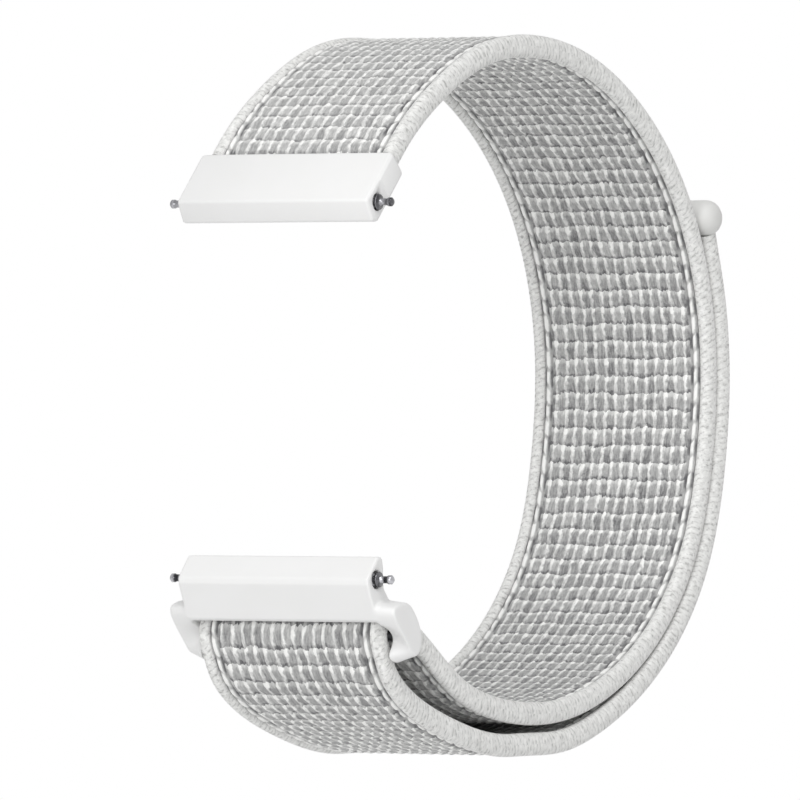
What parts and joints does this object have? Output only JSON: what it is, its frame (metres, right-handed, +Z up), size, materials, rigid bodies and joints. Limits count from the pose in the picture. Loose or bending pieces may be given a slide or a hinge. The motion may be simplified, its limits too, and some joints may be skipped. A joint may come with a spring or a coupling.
{
  "type": "hook and loop watch strap",
  "caption": "Woven hook and loop watch strap closed as a loop, with a moulded adapter and a sprung bar at each end.",
  "frame": {"origin": "centre of the box's base, where the closed strap stands on its tail", "axes": "+X along the spring bars and across the strap, +Y from the adapters towards the back of the loop, +Z up"},
  "size_m": [0.0232, 0.0658, 0.0646],
  "materials": {
    "woven_nylon": "woven, light grey and white",
    "piping_nylon": "smooth fine twill, off-white",
    "hook_tape": "short stiff hooks",
    "white_plastic": "satin",
    "steel": "polished"
  },
  "bodies": {
    "strap": {"strap_loop_band": "woven_nylon", "strap_loop_piping_left": "piping_nylon", "strap_loop_piping_right": "piping_nylon", "upper_adapter": "white_plastic", "retaining_rod": "steel"},
    "lower_adapter": {"lower_adapter": "white_plastic", "cross_bar": "steel"},
    "upper_bar": {"upper_bar_tube": "steel", "upper_bar_spring": "steel"},
    "upper_plunger_left": {"upper_bar_plunger_left": "steel"},
    "upper_plunger_right": {"upper_bar_plunger_right": "steel"},
    "lower_bar": {"lower_bar_tube": "steel", "lower_bar_spring": "steel"},
    "lower_plunger_left": {"lower_bar_plunger_left": "steel"},
    "lower_plunger_right": {"lower_bar_plunger_right": "steel"},
    "tail_lower": {"tail_lower_band": "woven_nylon", "tail_lower_piping_left": "piping_nylon", "tail_lower_piping_right": "piping_nylon"},
    "tail_middle": {"tail_middle_band": "woven_nylon", "tail_middle_piping_left": "piping_nylon", "tail_middle_piping_right": "piping_nylon"},
    "tail_end": {"tail_end_band": "woven_nylon", "tail_end_piping_left": "piping_nylon", "tail_end_piping_right": "piping_nylon", "hook_patch": "hook_tape", "tail_bead": "white_plastic"}
  },
  "joints": [
    {"name": "lower_adapter_tilt", "type": "hinge", "parent": "strap", "child": "lower_adapter", "pos_m": [0, -0.02752, 0.01128], "axis": [1, 0, 0], "range_deg": [-30, 30]},
    {"name": "upper_bar_spin", "type": "hinge", "parent": "strap", "child": "upper_bar", "pos_m": [0, -0.03122, 0.04918], "axis": [1, 0, 0], "continuous": true},
    {"name": "lower_bar_spin", "type": "hinge", "parent": "lower_adapter", "child": "lower_bar", "pos_m": [0, -0.03122, 0.01618], "axis": [1, 0, 0], "continuous": true},
    {"name": "upper_left_press", "type": "slide", "parent": "upper_bar", "child": "upper_plunger_left", "axis": [1, 0, 0], "range_m": [0, 0.0015], "stiffness_N_per_m": 400, "springref_m": -0.0015, "deforming": ["upper_bar_spring"]},
    {"name": "upper_right_press", "type": "slide", "parent": "upper_bar", "child": "upper_plunger_right", "axis": [-1, 0, 0], "range_m": [0, 0.0015], "stiffness_N_per_m": 400, "springref_m": -0.0015, "deforming": ["upper_bar_spring"]},
    {"name": "lower_left_press", "type": "slide", "parent": "lower_bar", "child": "lower_plunger_left", "axis": [1, 0, 0], "range_m": [0, 0.0015], "stiffness_N_per_m": 400, "springref_m": -0.0015, "deforming": ["lower_bar_spring"]},
    {"name": "lower_right_press", "type": "slide", "parent": "lower_bar", "child": "lower_plunger_right", "axis": [-1, 0, 0], "range_m": [0, 0.0015], "stiffness_N_per_m": 400, "springref_m": -0.0015, "deforming": ["lower_bar_spring"]},
    {"name": "tail_lower_peel", "type": "hinge", "parent": "strap", "child": "tail_lower", "pos_m": [0, -0.02998, 0.00975], "axis": [-1, 0, 0], "range_deg": [0, 40]},
    {"name": "tail_middle_peel", "type": "hinge", "parent": "tail_lower", "child": "tail_middle", "pos_m": [0, 0.00497, 0.00057], "axis": [-1, 0, 0], "range_deg": [0, 45]},
    {"name": "tail_end_peel", "type": "hinge", "parent": "tail_middle", "child": "tail_end", "pos_m": [0, 0.02877, 0.01628], "axis": [-1, 0, 0], "range_deg": [0, 60]}
  ]
}
